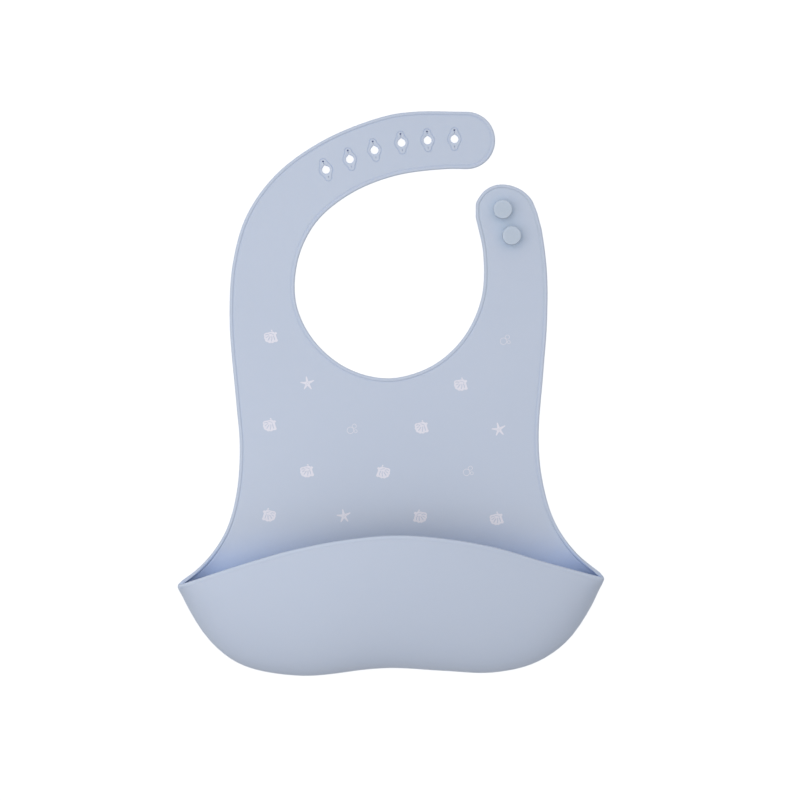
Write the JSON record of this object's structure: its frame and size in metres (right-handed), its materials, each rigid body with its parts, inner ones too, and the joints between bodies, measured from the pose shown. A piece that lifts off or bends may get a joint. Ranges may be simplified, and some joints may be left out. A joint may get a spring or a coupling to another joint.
{
  "type": "silicone baby bib",
  "caption": "Soft moulded baby bib with an open food catch pocket, an adjustable neck strap with buttonholes and stud fasteners, laid flat.",
  "frame": {"origin": "under the middle of the whole object, on the surface it lies on", "axes": "+X toward the stud strap's side, +Y from the pocket toward the neck straps, +Z out of the front face"},
  "size_m": [0.23, 0.3046, 0.032],
  "materials": {
    "silicone": "matte",
    "stud_silicone": "matte",
    "ink": "matte"
  },
  "bodies": {
    "chest": {"chest_panel": "silicone", "shell_print_1": "ink", "shell_print_2": "ink", "shell_print_3": "ink", "shell_print_4": "ink", "shell_print_5": "ink", "shell_print_6": "ink", "starfish_print_1": "ink", "starfish_print_2": "ink", "bubble_print_1": "ink", "bubble_print_2": "ink", "bubble_print_3": "ink"},
    "strap_shoulder": {"hole_strap_shoulder": "silicone"},
    "strap_middle": {"hole_strap_middle": "silicone"},
    "strap_end": {"hole_strap_end": "silicone"},
    "tab_shoulder": {"button_strap_shoulder": "silicone"},
    "tab_end": {"button_strap_end": "silicone", "upper_button": "stud_silicone", "lower_button": "stud_silicone"},
    "pocket": {"pocket_back": "silicone", "pocket_bottom": "silicone", "pocket_left_gusset": "silicone", "pocket_right_gusset": "silicone", "shell_print_7": "ink", "shell_print_8": "ink", "shell_print_9": "ink", "starfish_print_3": "ink"},
    "pocket_wall": {"pocket_front_wall": "silicone"}
  },
  "joints": [
    {"name": "hole_strap_fold", "type": "hinge", "parent": "chest", "child": "strap_shoulder", "pos_m": [-0.0695, 0.0554, 0.001], "axis": [1, 0, 0], "range_deg": [-95, 50], "stiffness_Nm_per_rad": 0.004},
    {"name": "hole_strap_bend", "type": "hinge", "parent": "strap_shoulder", "child": "strap_middle", "pos_m": [-0.04885, 0.10795, 0.001], "axis": [0.7071, -0.7071, 0], "range_deg": [-60, 60], "stiffness_Nm_per_rad": 0.004},
    {"name": "hole_strap_end_bend", "type": "hinge", "parent": "strap_middle", "child": "strap_end", "pos_m": [-0.00165, 0.1327, 0.001], "axis": [0.1967, -0.9805, 0], "range_deg": [-60, 60], "stiffness_Nm_per_rad": 0.004},
    {"name": "button_strap_fold", "type": "hinge", "parent": "chest", "child": "tab_shoulder", "pos_m": [0.067, 0.0554, 0.001], "axis": [1, 0, 0], "range_deg": [-95, 100], "stiffness_Nm_per_rad": 0.004},
    {"name": "button_strap_end_bend", "type": "hinge", "parent": "tab_shoulder", "child": "tab_end", "pos_m": [0.067, 0.0704, 0.001], "axis": [1, 0, 0], "range_deg": [-75, 75], "stiffness_Nm_per_rad": 0.004},
    {"name": "pocket_fold", "type": "hinge", "parent": "chest", "child": "pocket", "pos_m": [0, -0.0546, 0.001], "axis": [-1, 0, 0], "range_deg": [-20, 105], "stiffness_Nm_per_rad": 0.02},
    {"name": "pocket_open", "type": "hinge", "parent": "pocket", "child": "pocket_wall", "pos_m": [0, -0.148, 0.009], "axis": [1, 0, 0], "range_deg": [-12, 20], "stiffness_Nm_per_rad": 0.4}
  ]
}
